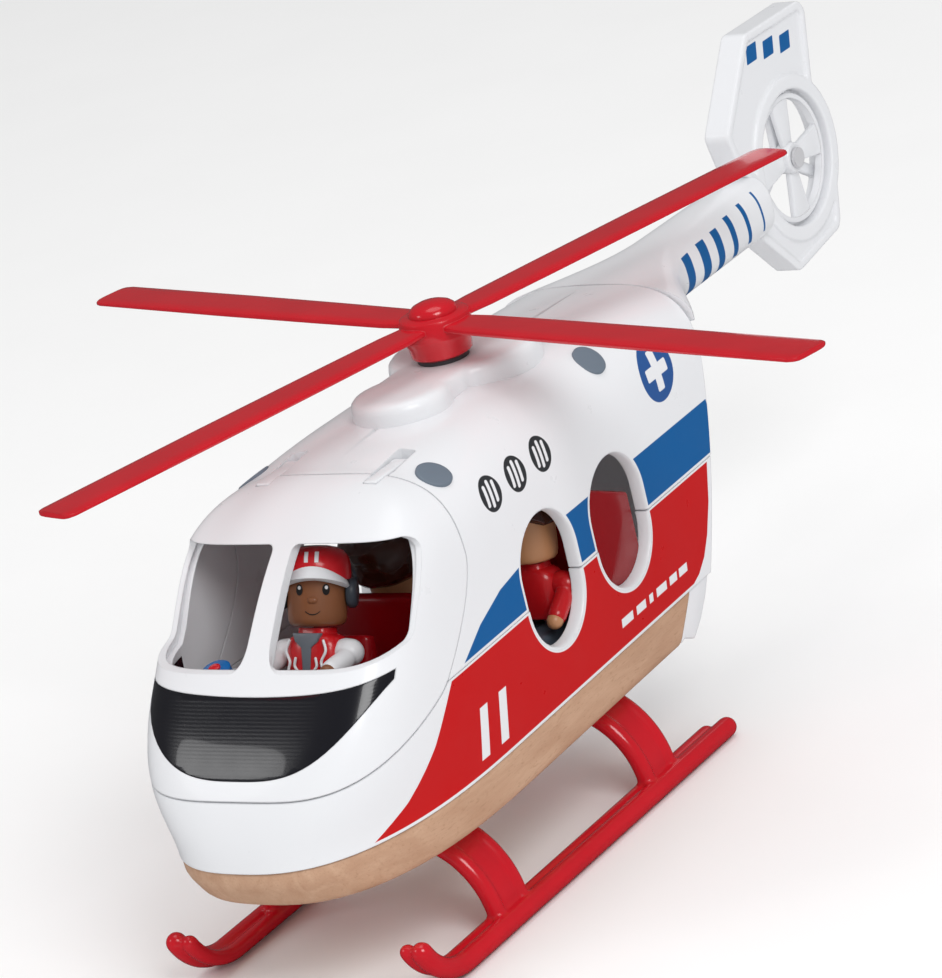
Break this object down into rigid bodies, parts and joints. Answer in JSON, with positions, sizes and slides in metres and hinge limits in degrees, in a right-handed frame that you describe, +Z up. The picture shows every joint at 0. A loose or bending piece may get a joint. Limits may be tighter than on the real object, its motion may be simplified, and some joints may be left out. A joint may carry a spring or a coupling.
{
  "type": "toy helicopter",
  "caption": "Toy rescue helicopter with a wooden belly, opening canopy and rear hatch, red landing skids, spinning main and tail rotors and seated figures.",
  "frame": {"origin": "on the ground plane that the skids stand on, under the middle of the overall box at rest; the main rotor axis is 29.6 mm in front of it", "axes": "nose towards -Y, tail towards +Y, +Z up along the main rotor axis, +X towards the side that faces the viewer when the nose points left"},
  "size_m": [0.1964, 0.262, 0.116],
  "materials": {
    "white_plastic": "satin moulded white plastic with printed colour areas",
    "beech_wood": "sanded light beech with fine grain",
    "red_plastic": "glossy moulded red plastic",
    "black_visor": "high gloss black with fine ribbing",
    "grey_plug": "matt grey plastic",
    "steel": "plain steel pins and screws",
    "dark_bushing": "dark acetal bushing",
    "red_liner": "glossy deep red interior moulding",
    "console_grey": "light grey moulding",
    "dial_blue": "blue and red printed dial",
    "trousers_grey": "dark grey figure plastic",
    "jacket_red": "red figure plastic with printed vest",
    "sleeve_white": "white figure plastic",
    "skin_brown": "brown figure plastic",
    "skin_tan": "tan figure plastic",
    "cap_red": "red figure plastic with a white brim",
    "headset_grey": "dark grey figure plastic",
    "hair_brown": "dark brown figure plastic"
  },
  "bodies": {
    "airframe": {"wood_base": "beech_wood", "lower_shell": "white_plastic", "upper_shell": "white_plastic", "roof_cowling": "white_plastic", "canopy_hinge_bracket": "white_plastic", "canopy_hinge_pin": "steel", "tail_boom": "white_plastic", "tail_fin": "white_plastic", "tail_rotor_pin": "steel", "hatch_hinge_pin": "steel", "skid_frame": "red_plastic", "skid_screws": "steel", "base_screws": "steel", "roof_screw_plugs": "grey_plug", "rotor_bushing": "dark_bushing", "cabin_floor": "red_liner", "pilot_seat": "red_liner", "medic_seat": "red_liner", "passenger_seat": "red_liner", "control_console": "console_grey", "console_dial": "dial_blue", "pilot_legs": "trousers_grey", "pilot_body": "jacket_red", "medic_legs": "trousers_grey", "medic_body": "jacket_red", "passenger_legs": "trousers_grey", "passenger_body": "jacket_red"},
    "canopy": {"canopy": "white_plastic", "visor": "black_visor", "canopy_hinge_arms": "white_plastic"},
    "rear_hatch": {"rear_hatch": "white_plastic"},
    "main_rotor": {"main_rotor": "red_plastic", "rotor_cap": "red_plastic", "rotor_shaft": "steel", "rotor_retaining_ring": "steel"},
    "tail_rotor": {"tail_rotor": "white_plastic"},
    "pilot_head": {"pilot_head": "skin_brown", "pilot_cap": "cap_red", "pilot_headset": "headset_grey"},
    "pilot_left_arm": {"pilot_left_arm": "sleeve_white"},
    "pilot_right_arm": {"pilot_right_arm": "sleeve_white"},
    "medic_head": {"medic_head": "skin_tan", "medic_hair": "hair_brown"},
    "medic_left_arm": {"medic_left_arm": "jacket_red"},
    "medic_right_arm": {"medic_right_arm": "jacket_red"},
    "passenger_head": {"passenger_head": "skin_tan", "passenger_hair": "hair_brown"},
    "passenger_left_arm": {"passenger_left_arm": "jacket_red"},
    "passenger_right_arm": {"passenger_right_arm": "jacket_red"}
  },
  "joints": [
    {"name": "canopy_hinge", "type": "hinge", "parent": "airframe", "child": "canopy", "pos_m": [0, -0.06906, 0.0836], "axis": [-1, 0, 0], "range_deg": [0, 40]},
    {"name": "rear_hatch_hinge", "type": "hinge", "parent": "airframe", "child": "rear_hatch", "pos_m": [0, 0.02304, 0.0762], "axis": [1, 0, 0], "range_deg": [0, 60]},
    {"name": "main_rotor_spin", "type": "hinge", "parent": "airframe", "child": "main_rotor", "pos_m": [0, -0.02956, 0.1005], "axis": [0, 0, 1], "continuous": true},
    {"name": "tail_rotor_spin", "type": "hinge", "parent": "airframe", "child": "tail_rotor", "pos_m": [0, 0.11284, 0.0843], "axis": [1, 0, 0], "continuous": true},
    {"name": "pilot_head_turn", "type": "hinge", "parent": "airframe", "child": "pilot_head", "pos_m": [0.0009, -0.09077, 0.06267], "axis": [0, 0.3746, 0.9272], "range_deg": [-60, 60]},
    {"name": "pilot_left_shoulder", "type": "hinge", "parent": "airframe", "child": "pilot_left_arm", "pos_m": [-0.0061, -0.09261, 0.05813], "axis": [-1, 0, 0], "range_deg": [-15, 45]},
    {"name": "pilot_right_shoulder", "type": "hinge", "parent": "airframe", "child": "pilot_right_arm", "pos_m": [0.0079, -0.09261, 0.05813], "axis": [-1, 0, 0], "range_deg": [-15, 45]},
    {"name": "medic_head_turn", "type": "hinge", "parent": "airframe", "child": "medic_head", "pos_m": [0.0022, -0.06409, 0.05755], "axis": [0, -0.1564, 0.9877], "range_deg": [-60, 60]},
    {"name": "medic_left_shoulder", "type": "hinge", "parent": "airframe", "child": "medic_left_arm", "pos_m": [0.0092, -0.06332, 0.05271], "axis": [1, 0, 0], "range_deg": [-15, 45]},
    {"name": "medic_right_shoulder", "type": "hinge", "parent": "airframe", "child": "medic_right_arm", "pos_m": [-0.0048, -0.06332, 0.05271], "axis": [1, 0, 0], "range_deg": [-15, 45]},
    {"name": "passenger_head_turn", "type": "hinge", "parent": "airframe", "child": "passenger_head", "pos_m": [0.014, -0.03653, 0.05285], "axis": [0, 0.1564, 0.9877], "range_deg": [-60, 60]},
    {"name": "passenger_left_shoulder", "type": "hinge", "parent": "airframe", "child": "passenger_left_arm", "pos_m": [0.007, -0.03729, 0.04801], "axis": [-1, 0, 0], "range_deg": [-15, 45]},
    {"name": "passenger_right_shoulder", "type": "hinge", "parent": "airframe", "child": "passenger_right_arm", "pos_m": [0.021, -0.03729, 0.04801], "axis": [-1, 0, 0], "range_deg": [-15, 45]}
  ]
}
